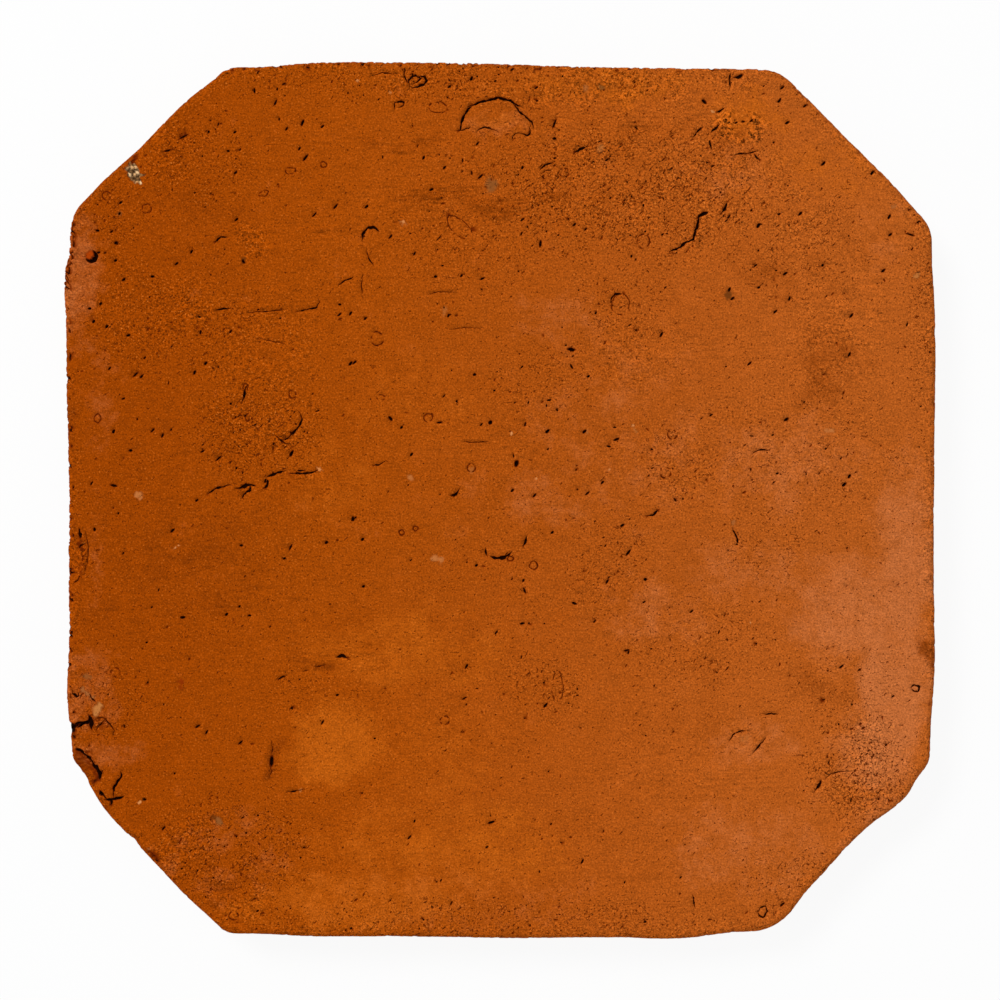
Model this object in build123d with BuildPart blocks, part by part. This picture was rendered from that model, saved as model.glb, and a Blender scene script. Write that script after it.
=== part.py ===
# A handmade octagonal terracotta floor tile: a square blank of clay with its four corners cut off,
# struck flat by hand, dried and fired in one piece. It lies on its back, with its face up.
# +X runs to the right across the face and +Y up it. The origin is the middle of the back.

import math
import os

from build123d import *

# The fired tile, over its widest points
face_width = 300.0
face_depth = 302.0
thickness = 25.0

# The leg of the triangle cut off each corner of the blank, for a 70 mm square inset and its joints
corner_cut = 57.0

# The sides lean in under the face, so that neighbours meet at their faces and the mortar gets a wedge
side_lean = 3.0

# The arris round the face is rubbed round by hand, and the one round the back is only just eased
face_arris = 2.6
back_arris = 1.0

# The eight corners of the outline, clockwise from the left end of the upper left cut. For each: the
# side of the tile that it is on across and up, and the long side that it ends. Then how far it lies
# in from that side's widest point, how much longer than corner_cut it makes the leg of the cut, and
# its rounding. No two are alike, because the corners were cut and rubbed by hand.
corners = [
    (-1, 1, "left", 1.6, -4.5, 15.0),
    (-1, 1, "top", 1.6, -1.2, 10.0),
    (1, 1, "top", 2.2, -2.9, 15.0),
    (1, 1, "right", 0.9, 0.0, 13.0),
    (1, -1, "right", 1.7, 3.4, 10.0),
    (1, -1, "bottom", 2.3, -0.9, 20.0),
    (-1, -1, "bottom", 1.6, -2.1, 9.0),
    (-1, -1, "left", 2.4, 5.1, 6.0),
]

# How far each side bows out (+) or in (-) from the straight line between its two corners, clockwise,
# at even steps from corner to corner
side_waves = {
    "upper_left_cut": [0.6, 0.2, 0.8, 0.9],
    "top": [1.5, 2.0, 1.8, 1.0, 0.4, 0.2],
    "upper_right_cut": [0.2, 0.4, 0.6],
    "right": [1.1, 1.2, 1.0, 1.1, 1.4],
    "lower_right_cut": [1.7, -0.1, -1.1, -1.0, -0.5],
    "bottom": [1.9, 1.8, 1.9, 1.5, 1.1, 0.9],
    "lower_left_cut": [1.1, 1.9, 2.7, 2.4],
    "left": [1.6, 1.0, 1.0, 0.9, 0.7, 1.0, 1.5, 1.5, 1.7],
}

# Shell-shaped chips broken out of the arris: the side and the share of the way along it, then the
# chip's length along the arris, its reach into the face and its depth down the side
chips = {
    "broken_corner": ("lower_left_cut", 0.92, 17.0, 5.2, 2.6),
    "cut_nick": ("lower_left_cut", 0.55, 8.0, 2.2, 4.0),
    "side_flake": ("left", 0.37, 18.5, 5.6, 2.6),
    "side_void": ("left", 0.95, 8.0, 1.0, 1.6),
    "sandy_nick": ("upper_left_cut", 0.39, 9.0, 3.2, 2.2),
}

# A round hole that a burnt-out lump left in the face: the share of the way from the middle of the
# tile to its edge, across and up, then the hole's width and its depth
pit_place = (-0.949, 0.554)
pit_width = 4.4
pit_depth = 2.4

# Cracks that opened in the face as the clay dried: the places that each runs through, as such
# shares, then its widest opening and its depth
cracks = {
    "crescent": (
        [(-0.091, 0.844), (-0.076, 0.895), (-0.006, 0.917), (0.060, 0.884), (0.070, 0.837)],
        0.6,
        1.4,
    ),
    "corner_crack": ([(-0.904, -0.680), (-0.884, -0.675), (-0.864, -0.678)], 0.8, 2.2),
    "corner_crack_branch": ([(-0.887, -0.676), (-0.880, -0.645), (-0.869, -0.621)], 0.6, 1.8),
    "edge_crack": ([(-0.988, -0.522), (-0.968, -0.511), (-0.944, -0.507)], 1.0, 2.0),
}


def corner_points(inset):
    """Where the eight corners would be if they were sharp, with all sides moved in by inset."""
    sharp = []
    for across, up, long_side, side_inset, extra_leg, _ in corners:
        leg = corner_cut + extra_leg
        in_across, in_up = (side_inset, leg) if long_side in ("left", "right") else (leg, side_inset)
        sharp.append(Vector(across * (face_width / 2 - in_across), up * (face_depth / 2 - in_up)))
    moved = []
    for i, corner in enumerate(sharp):
        before = (corner - sharp[i - 1]).normalized().rotate(Axis.Z, 90)
        after = (sharp[(i + 1) % len(sharp)] - corner).normalized().rotate(Axis.Z, 90)
        moved.append(corner - (before + after) * (inset / (1 + before.dot(after))))
    return moved


def rounding_reach(before, corner, after, radius):
    """How far along its two sides a corner's rounding reaches."""
    turn = math.radians((corner - before).get_angle(after - corner))
    return radius * math.tan(turn / 2)


def draw_outline(inset=0.0):
    """The closed outline, with all sides moved in by inset: eight wavy sides, joined by an arc at
    each corner. Returns the sides by name."""
    points = corner_points(inset)
    following = points[1:] + points[:1]
    reaches = [
        rounding_reach(points[i - 1], points[i], following[i], corners[i][-1])
        for i in range(len(points))
    ]
    sides = {}
    last_along = (points[0] - points[-1]).normalized()
    last_end = points[0] - last_along * reaches[0]
    for i, (name, bows) in enumerate(side_waves.items()):
        start, end = points[i], following[i]
        along = (end - start).normalized()
        outwards = along.rotate(Axis.Z, 90)
        step = (end - start) / (len(bows) + 1)
        wavy = [start + step * (k + 1) + outwards * bow for k, bow in enumerate(bows)]
        first = start + along * reaches[i]
        last = end - along * reaches[(i + 1) % len(points)]
        TangentArc(last_end, first, tangent=last_along)
        sides[name] = Spline(first, *wavy, last, tangents=[along, along])
        last_along, last_end = along, last
    return sides


def section(height, inset):
    """The outline as a face at this height, with all sides moved in by inset."""
    with BuildSketch(Plane.XY.offset(height)) as outline:
        with BuildLine():
            draw_outline(inset)
        make_face()
    return outline.sketch.face()


def on_face(share_across, share_up):
    """The point of the face at these shares of the way from its middle to its edge."""
    return Vector(share_across * face_width / 2, share_up * face_depth / 2, thickness)


def leaned(height):
    """How far in from the face's edge the side lies at this height."""
    return (thickness - height) * math.tan(math.radians(side_lean))


def chip_sphere(length, reach, depth):
    """The sphere that breaks a chip of this size out of an arris: its radius, and how far its centre
    stands out from the side and above the face."""
    half_length = length / 2
    out = (half_length**2 - reach**2) / (2 * reach)
    above = (half_length**2 - depth**2) / (2 * depth)
    radius = math.sqrt(half_length**2 + out**2 + above**2)
    return radius, out, above


with BuildLine():
    sides = draw_outline()

with BuildPart() as tile:
    # The eased arris of the back, the leaning sides and the rounded arris of the face
    arris_foot = thickness - face_arris
    back_section = section(back_arris, leaned(back_arris))
    foot_section = section(arris_foot, leaned(arris_foot))
    loft([section(0, leaned(0) + back_arris), back_section], ruled=True)
    loft([back_section, foot_section], ruled=True)
    rounding = [foot_section]
    for turn in (30, 60, 90):
        rise = face_arris * math.sin(math.radians(turn))
        back_off = face_arris * (1 - math.cos(math.radians(turn)))
        rounding.append(section(arris_foot + rise, leaned(arris_foot) + back_off))
    loft(rounding)

    # The chips are broken out after the arris was rubbed round
    for side, share, length, reach, depth in chips.values():
        radius, out, above = chip_sphere(length, reach, depth)
        outwards = (sides[side] % share).rotate(Axis.Z, 90)
        centre = (sides[side] @ share) + outwards * out
        with Locations((centre.X, centre.Y, thickness + above)):
            Sphere(radius, mode=Mode.SUBTRACT)

    # A spherical cap of the hole's width and depth
    pit_radius = (pit_width**2 / 4 + pit_depth**2) / (2 * pit_depth)
    with Locations(on_face(*pit_place) + Vector(0, 0, pit_radius - pit_depth)):
        Sphere(pit_radius, mode=Mode.SUBTRACT)

    # Each crack tapers from its middle to nothing at both ends, and is cut from well above the face
    above_face = thickness + face_arris
    for places, opening, depth in cracks.values():
        path = [on_face(*place) for place in places]
        lips = []
        for before, point, after in zip(path, path[1:], path[2:]):
            leftwards = (after - before).normalized().rotate(Axis.Z, 90)
            lips.append((point + leftwards * opening / 2, point - leftwards * opening / 2))
        with BuildSketch(Plane.XY.offset(above_face)):
            with BuildLine():
                for lip in zip(*lips):
                    Spline(path[0], *lip, path[-1])
            make_face()
        extrude(amount=thickness - depth - above_face, mode=Mode.SUBTRACT)

tile.part.label = "terracotta_tile"
os.makedirs("parts", exist_ok=True)
export_step(tile.part, "parts/terracotta_tile.step")
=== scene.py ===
import math
import random

import bpy
import numpy as np
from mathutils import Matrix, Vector, noise
from mathutils.bvhtree import BVHTree
from mathutils.geometry import delaunay_2d_cdt


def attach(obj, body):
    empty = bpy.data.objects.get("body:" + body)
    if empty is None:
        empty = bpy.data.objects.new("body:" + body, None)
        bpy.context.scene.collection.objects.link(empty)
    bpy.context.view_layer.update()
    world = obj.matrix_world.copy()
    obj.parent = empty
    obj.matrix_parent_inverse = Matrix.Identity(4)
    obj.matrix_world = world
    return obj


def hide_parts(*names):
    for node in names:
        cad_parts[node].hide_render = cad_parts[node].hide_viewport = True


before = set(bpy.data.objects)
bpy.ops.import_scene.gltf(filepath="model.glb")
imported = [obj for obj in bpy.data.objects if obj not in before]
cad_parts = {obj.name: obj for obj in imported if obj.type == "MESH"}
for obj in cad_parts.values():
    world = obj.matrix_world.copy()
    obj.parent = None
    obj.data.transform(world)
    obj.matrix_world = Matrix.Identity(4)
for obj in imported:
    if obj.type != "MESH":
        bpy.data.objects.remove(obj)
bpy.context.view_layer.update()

# The camera hangs straight over the tile, with the tile's upper edge at the top of the picture.
# It stands so far off that the tile's widest outline is as large in the frame as in the picture,
# and as far above the tile's middle as the middle of the picture lies.
mm = 0.001
picture_width = 344.4 * mm
picture_middle_up = 0.17 * mm
widest_height = 22.5 * mm
lens = 85.0
sensor = 36.0
camera_lens = bpy.data.cameras.new("overhead_camera")
camera_lens.lens = lens
camera_lens.sensor_width = sensor
camera = bpy.data.objects.new("overhead_camera", camera_lens)
camera_distance = picture_width * lens / sensor
camera.location = (0.0, picture_middle_up, widest_height + camera_distance)
bpy.context.scene.collection.objects.link(camera)
bpy.context.scene.camera = camera
bpy.context.scene.view_settings.view_transform = "Standard"


# The studio is an even white surround, with one large soft lamp high up at the upper left.
# The two together light the tile's face at a level of about one.
class Finish:
    """One socket in a tree of shader nodes. Sums written with it add Math nodes to its tree."""

    def __init__(self, tree, socket=None):
        self.tree = tree
        self.socket = socket

    def node(self, kind, settings={}, sockets={}, output=0):
        """Adds a node of this kind, and gives the socket that comes out of it."""
        made = self.tree.nodes.new("ShaderNode" + kind)
        for name, setting in settings.items():
            setattr(made, name, setting)
        for name, value in sockets.items():
            if isinstance(value, Finish):
                self.tree.links.new(value.socket, made.inputs[name])
            else:
                made.inputs[name].default_value = value
        return Finish(self.tree, made.outputs[output] if made.outputs else None)

    def sum(self, operation, *values):
        return self.node("Math", {"operation": operation}, dict(enumerate(values)))

    def __add__(self, other):
        return self.sum("ADD", self, other)

    def __sub__(self, other):
        return self.sum("SUBTRACT", self, other)

    def __rsub__(self, other):
        return self.sum("SUBTRACT", other, self)

    def __mul__(self, other):
        return self.sum("MULTIPLY", self, other)

    __radd__ = __add__
    __rmul__ = __mul__

    def between(self, low, high):
        """0 at low, 1 at high, and a smooth rise from one to the other."""
        span = {"Value": self, "From Min": low, "From Max": high}
        return self.node("MapRange", {"interpolation_type": "SMOOTHSTEP"}, span)

    def mix(self, share, first, second):
        """The first colour where share is 0, and the second where it is 1."""
        return self.node("Mix", {"data_type": "RGBA"}, {0: share, 6: first, 7: second}, output=2)


def seen_directly(finish):
    """1 for what the camera sees, or sees mirrored or through glass, and 0 for what only lights."""
    ray = finish.node("LightPath").socket.node
    kinds = ("Is Camera Ray", "Is Glossy Ray", "Is Transmission Ray")
    camera_ray, glossy_ray, glass_ray = (Finish(finish.tree, ray.outputs[kind]) for kind in kinds)
    return camera_ray.sum("MAXIMUM", camera_ray, glossy_ray.sum("MAXIMUM", glossy_ray, glass_ray))


surround_level = 0.48
studio = bpy.data.worlds.new("white_surround")
studio.use_nodes = True
studio.node_tree.nodes.clear()
surround = Finish(studio.node_tree)
brightness = surround_level + seen_directly(surround) * (1.0 - surround_level)
sky = surround.node("Background", {}, {"Color": (1.0, 1.0, 1.0, 1.0), "Strength": brightness})
surround.node("OutputWorld", {}, {"Surface": sky})
bpy.context.scene.world = studio

lamp_level = 0.52
lamp_place = Vector((-1.05, 1.05, 2.1))
lamp_light = bpy.data.lights.new("soft_lamp", "AREA")
lamp_light.shape = "DISK"
lamp_light.size = 0.9
lamp_slope = lamp_place.z / lamp_place.length
lamp_light.energy = lamp_level * math.pi**2 * lamp_place.length_squared / lamp_slope
lamp = bpy.data.objects.new("soft_lamp", lamp_light)
lamp.location = lamp_place
lamp.rotation_euler = (-lamp_place).to_track_quat("-Z", "Y").to_euler()
bpy.context.scene.collection.objects.link(lamp)


# The floor is a plain matt white table that the tile lies on. It looks white from above, and keeps
# the tile's soft shadow. An opening under the tile, a little smaller than it, shows the tile's back
# from below, and the table reaches many times as far out as the opening.
table_per_opening = 27.0
table_drop = 0.05
opening_half = 145.0
opening_corner = 90.0
opening = [
    (opening_half, -opening_corner), (opening_half, opening_corner),
    (opening_corner, opening_half), (-opening_corner, opening_half),
    (-opening_half, opening_corner), (-opening_half, -opening_corner),
    (-opening_corner, -opening_half), (opening_corner, -opening_half),
]
table_corners = [
    Vector((x * reach, y * reach, -table_drop)) * mm for reach in (1.0, table_per_opening) for x, y in opening
]
corner_count = len(opening)
table_quads = []
for i in range(corner_count):
    after = (i + 1) % corner_count
    table_quads.append((i, i + corner_count, after + corner_count, after))
table_mesh = bpy.data.meshes.new("table_top")
table_mesh.from_pydata(table_corners, [], table_quads)
table = bpy.data.objects.new("table_top", table_mesh)
bpy.context.scene.collection.objects.link(table)
table_finish = bpy.data.materials.new("matt_white")
table_finish.use_nodes = True
table_finish.node_tree.nodes.clear()
paint = Finish(table_finish.node_tree)
shaded = paint.node("BsdfDiffuse", {}, {"Color": (0.86, 0.86, 0.86, 1.0)})
glowing = paint.node("Emission", {}, {"Color": (1.0, 1.0, 1.0, 1.0), "Strength": 1.0})
glow_share = 0.92
table_look = paint.node("MixShader", {}, {0: seen_directly(paint) * glow_share, 1: shaded, 2: glowing})
paint.node("OutputMaterial", {}, {"Surface": table_look})
table_mesh.materials.append(table_finish)


# The tile is one slab of coarse clay with lumps, sand and burnt-out straw in it. It was struck flat
# and smoothed with a wet hand, cut to an octagon, rubbed at its edges, dried and fired unglazed.
# The solid gives the slab's shape: its sides and chips are read off it, ring by ring.
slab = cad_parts["terracotta_tile"]
slab_surface = BVHTree.FromPolygons(
    [slab.matrix_world @ point.co for point in slab.data.vertices],
    [tuple(side.vertices) for side in slab.data.polygons],
)
face_height = 25.0
outside = 200.0
random.seed(7)


def wavering(points, size, octaves=3, shift=0.0):
    """Natural unevenness of this size in mm at each point, from about -1 to 1."""
    places = np.asarray(points, dtype=float) / size
    return np.array([
        noise.fractal(Vector((x + shift, y, z)), 1.0, 2.0, octaves) for x, y, z in places
    ])


def smooth_rise(values, low, high):
    """0 up to low, 1 from high on, and a smooth rise between them."""
    share = np.clip((values - low) / (high - low), 0.0, 1.0)
    return share * share * (3.0 - 2.0 * share)


def smooth_band(values, rise_from, rise_to, fall_from, fall_to):
    """0 outside these four values, 1 between the middle two, and smooth from one to the other."""
    return smooth_rise(values, rise_from, rise_to) * (1.0 - smooth_rise(values, fall_from, fall_to))


# The sides, from the back's eased edge up to where the rubbed arris meets the face
stations = 1800
ring_heights = [0.05, 1.0, 6.0, 12.0, 18.0, 21.4, 22.6, 23.5, 24.2, 24.65, 24.9]
turns = np.arange(stations) * 2.0 * math.pi / stations
rings = []
for height in ring_heights:
    ring = []
    for turn in turns:
        outwards = Vector((math.cos(turn), math.sin(turn), 0.0))
        start = (outwards * outside + Vector((0.0, 0.0, height))) * mm
        ring.append(slab_surface.ray_cast(start, -outwards)[0] / mm)
    rings.append(np.array(ring))

# The knife dragged along the sides and tore the clay, most at the top and at the left. Holes opened
# in the arris there, most of all under the upper left corner, where a crack runs out over it, and
# where the clay crumbled beside that crack. Shade is painted into what lies open in the arris, as dark as in
# a pore.
side_tear = 0.16
torn_tear = 0.42
hole_depth = 0.5
torn_top = (147.0, 149.5)
torn_left = (145.0, 148.0)
corner_holes_left = (144.0, 146.5)
corner_holes_up = (69.0, 73.0, 94.0, 97.0)
rim_crack_down = 78.3
rim_crack_half = (1.0, 2.4)
rim_crack_foot = 18.0
crumbled_down = (79.0, 80.5, 83.0, 85.5)
left_side = 140.0
arris_foot, arris_top = 20.0, 24.8
shade_on_arris, shade_below_arris = 0.9, 0.12
side_painted_shade = []
for ring, height in zip(rings, ring_heights):
    outwards = ring[:, :2] / np.linalg.norm(ring[:, :2], axis=1)[:, None]
    left, up = -ring[:, 0], ring[:, 1]
    torn = np.maximum(smooth_rise(up, *torn_top), smooth_rise(left, *torn_left))
    drag = wavering(ring * (1.0, 1.0, 3.0), 9.0, 3) + 0.6 * wavering(ring, 1.6, 3, 40.0)
    crumbs = smooth_rise(wavering(ring * (1.0, 1.0, 0.7), 1.3, 2, 80.0), -0.1, 0.5)
    shaded_holes = smooth_rise(wavering(ring * (1.0, 1.0, 0.8), 2.4, 2, 120.0), 0.28, 0.5)
    by_corner = smooth_band(up, *corner_holes_up) * smooth_rise(left, *corner_holes_left)
    shaded_holes = np.maximum(shaded_holes * (0.35 + 0.65 * torn), by_corner * smooth_rise(crumbs, 0.05, 0.35))
    rim_crack = (1.0 - smooth_rise(np.abs(up + rim_crack_down), *rim_crack_half)) * (left > left_side)
    shaded_holes = np.maximum(shaded_holes, rim_crack * (height > rim_crack_foot))
    crumbled = smooth_band(-up, *crumbled_down) * (left > left_side)
    shaded_holes = np.maximum(shaded_holes, 0.8 * crumbled * smooth_rise(crumbs, 0.0, 0.4))
    shaded_holes *= 1.0 if arris_foot < height < arris_top else 0.5
    depth = side_tear * np.clip(0.5 + drag, 0.0, 2.0) + torn_tear * torn * crumbs
    ring[:, :2] -= outwards * (depth + hole_depth * shaded_holes)[:, None]
    ring[:, 2] = 0.0 if height == ring_heights[0] else height
    # Painted shade in the holes of the sides, strongest on the arris
    strongest_shade = shade_on_arris if height > arris_foot else shade_below_arris
    side_painted_shade.append(np.clip(shaded_holes * strongest_shade, 0.0, 1.0))
top_ring = rings[-1]
back_ring = rings[0]

# Marks of the making, at their places in the picture of 1000 by 1000 pixels that shows the face
face_mm_per_pixel = 0.3434
picture_middle = (499.5, 500.0)


def on_face(across, down):
    """The point of the face, in mm, that the picture shows at this pixel."""
    return np.array([
        (across - picture_middle[0]) * face_mm_per_pixel,
        (picture_middle[1] - down) * face_mm_per_pixel,
    ])


# Slots and holes that straw and air left: across, down, length, width and tilt, in pixels and degrees
slots = [
    (305, 157, 9, 2.6, 50), (235, 172, 5, 2.4, 45), (254, 90, 6, 2.6, 90), (275, 102, 8, 2.4, 65),
    (480, 176, 9, 2.4, 45), (477, 143, 6, 2.2, 50), (554, 123, 14, 2.4, 68), (554, 138, 4, 3.0, 0),
    (540, 243, 8, 2.8, 80), (314, 214, 7, 2.2, 45), (335, 206, 8, 2.4, 50), (339, 314, 6, 2.2, 40),
    (571, 349, 9, 4.2, -5), (580, 148, 6, 2.2, 30), (516, 463, 8, 5.0, 75), (513, 455, 6, 1.6, 100),
    (628, 552, 9, 2.6, 50), (844, 484, 6, 3.0, 40), (849, 476, 5, 2.6, 60), (786, 419, 6, 3.0, 30),
    (271, 761, 13, 4.4, 86), (704, 101, 6, 3.6, -40), (736, 122, 4, 2.0, 20), (743, 121, 4, 2.0, 10),
    (751, 120, 5, 2.2, 30), (98, 252, 4, 2.4, 20), (243, 261, 5, 3.0, -60),
    (197, 726, 7, 2.4, 30), (206, 732, 6, 2.2, 60), (240, 742, 7, 2.2, 40), (163, 828, 6, 2.4, 50),
    (291, 453, 8, 3.4, 60), (545, 705, 7, 2.6, 45), (466, 666, 6, 2.4, 60), (464, 698, 6, 2.2, 30),
    (409, 837, 7, 2.4, 50), (491, 822, 9, 3.0, 20), (582, 861, 6, 2.4, 60), (841, 666, 6, 2.6, 40),
    (820, 783, 6, 2.4, 70), (782, 904, 7, 2.4, 40), (322, 722, 6, 2.2, 60), (758, 225, 6, 3.2, 60),
    (775, 311, 6, 2.6, 40), (789, 298, 5, 2.6, 70), (785, 273, 6, 2.6, 30), (823, 163, 6, 2.8, 50),
    (872, 172, 6, 2.6, 60), (782, 87, 6, 2.4, 40), (779, 100, 6, 2.6, 60), (805, 105, 7, 2.4, 40),
    (787, 122, 6, 2.6, 30), (800, 213, 6, 2.6, 50), (889, 216, 6, 2.6, 60), (890, 234, 5, 2.4, 40),
    (910, 234, 11, 2.2, -15), (909, 208, 6, 2.4, 60), (883, 270, 6, 2.8, 40), (851, 315, 6, 2.6, 50),
    (661, 334, 6, 2.6, 60), (749, 363, 6, 2.4, 40), (849, 354, 6, 2.6, 60), (729, 289, 5, 2.6, 60),
    (732, 298, 5, 2.6, 40), (120, 202, 4, 2.6, 40), (119, 213, 4, 2.6, 60), (97, 230, 4, 3.0, 0),
    (111, 231, 4, 2.4, 40), (236, 219, 5, 2.6, 40), (191, 251, 5, 2.6, 60), (176, 263, 5, 2.6, 40),
    (152, 276, 4, 2.8, 0), (115, 242, 4, 2.8, 50), (115, 260, 4, 2.6, 30), (123, 279, 5, 2.6, 40),
    (100, 303, 4, 2.8, 60), (89, 308, 4, 2.8, 0), (93, 321, 4, 2.6, 40), (106, 326, 5, 2.6, 60),
    (230, 331, 5, 2.4, 50), (167, 150, 9, 2.4, 15), (183, 136, 14, 2.2, 28), (286, 128, 5, 2.4, 60),
    (302, 122, 8, 3.0, 70), (322, 126, 5, 2.4, 40), (299, 148, 5, 2.6, 60), (366, 206, 5, 2.6, 40),
    (390, 236, 6, 2.4, 50), (414, 253, 5, 2.4, 60), (431, 189, 5, 2.6, 30), (423, 157, 5, 2.6, 60),
    (444, 167, 5, 2.4, 40), (522, 167, 5, 2.4, 70), (522, 219, 6, 2.2, 40), (574, 224, 5, 2.4, 40),
    (461, 275, 5, 2.4, 60), (482, 278, 6, 2.4, 30), (435, 276, 4, 2.6, 0), (350, 313, 5, 2.4, 60),
    (365, 318, 5, 2.4, 40), (448, 315, 5, 2.4, 60), (354, 362, 6, 2.4, 45), (471, 78, 5, 2.6, 60),
    (449, 86, 5, 2.4, 40), (512, 69, 5, 2.4, 30), (496, 65, 5, 2.2, 60), (536, 87, 5, 2.4, 40),
    (144, 799, 4, 3.0, 0), (205, 363, 5, 2.6, 50), (109, 368, 5, 2.2, 50), (135, 374, 9, 2.4, 45),
    (194, 372, 5, 3.0, 60), (141, 376, 5, 2.4, 40), (123, 398, 4, 2.4, 30), (113, 431, 5, 3.0, 60),
    (152, 430, 6, 2.4, 45), (162, 435, 6, 2.4, 70), (218, 458, 9, 2.2, 40), (202, 451, 6, 2.2, 30),
    (130, 450, 4, 3.0, 0), (113, 485, 8, 2.8, -10), (172, 530, 6, 2.6, 45), (94, 529, 4, 2.8, 90),
    (91, 483, 5, 2.2, 60), (196, 500, 4, 2.8, 40), (241, 545, 4, 2.4, 0), (290, 547, 8, 2.2, 65),
    (326, 542, 4, 3.0, 40), (284, 558, 4, 2.6, 30), (353, 519, 5, 2.6, 75), (363, 586, 4, 2.6, 40),
    (182, 617, 6, 3.0, 5), (239, 606, 4, 2.6, 60), (226, 614, 4, 2.6, 40), (249, 615, 4, 2.4, 0),
    (350, 363, 6, 2.6, 50), (474, 374, 4, 3.0, 20), (439, 422, 7, 2.4, 10), (490, 422, 5, 4.0, 40),
    (481, 424, 5, 2.2, 50), (401, 427, 4, 2.6, 40), (390, 418, 6, 3.2, -50), (411, 454, 5, 2.6, 60),
    (547, 431, 6, 3.2, 40), (584, 431, 5, 3.0, 40), (616, 439, 7, 2.8, 25), (602, 482, 5, 2.6, 40),
    (587, 493, 6, 2.4, 40), (455, 494, 7, 2.8, 45), (352, 518, 6, 2.4, 70), (362, 539, 4, 2.8, 40),
    (476, 565, 4, 2.8, 40), (524, 590, 8, 2.4, 110), (523, 580, 4, 2.6, 60), (607, 581, 6, 2.6, 60),
    (645, 579, 4, 3.0, 0), (522, 623, 6, 2.6, 10), (496, 632, 5, 2.2, 50), (574, 603, 6, 2.6, -20),
    (626, 650, 7, 2.4, 15), (628, 652, 5, 2.2, 70), (622, 525, 5, 2.8, 40), (552, 532, 4, 2.6, 40),
    (534, 495, 6, 2.2, 50), (512, 490, 4, 2.6, 40), (588, 376, 4, 2.6, 30), (571, 366, 7, 2.4, -60),
]

# Lumps of clay that shrank away from the clay round them: the thin gap that shows round each, as
# across, down, width and height of its ring, tilt, and the share of the ring that has opened
gaps_round_lumps = [
    (459, 227, 31, 14, -42, 0.55), (437, 107, 18, 11, 0, 0.6),
    (377, 338, 12, 14, 0, 0.5), (643, 241, 12, 14, 0, 0.5), (620, 304, 18, 21, 0, 0.6),
    (290, 170, 10, 7, 0, 0.7), (323, 164, 6, 6, 0, 0.8), (263, 193, 10, 5, 20, 0.7),
    (146, 208, 9, 9, 0, 0.5), (106, 195, 8, 8, 0, 0.5),
    (564, 172, 9, 9, 0, 0.5), (672, 434, 9, 9, 0, 0.5), (665, 472, 11, 11, 0, 0.4),
    (401, 532, 5, 5, 0, 0.9), (415, 528, 5, 5, 0, 0.9), (533, 565, 8, 8, 0, 0.8),
    (115, 672, 9, 9, 0, 0.5), (233, 915, 9, 9, 0, 0.5), (213, 799, 9, 9, 0, 0.5),
    (444, 720, 9, 9, 0, 0.5), (557, 686, 11, 30, 0, 0.6),
    (292, 394, 7, 8, 0, 0.7), (97, 418, 6, 9, 0, 0.7),
    (428, 417, 9, 8, 30, 0.6), (245, 387, 5, 7, 0, 0.8), (247, 417, 5, 7, 0, 0.7),
    (471, 467, 8, 8, 0, 0.6), (510, 558, 6, 5, 0, 0.8), (380, 397, 9, 5, 0, 0.4),
]

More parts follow.
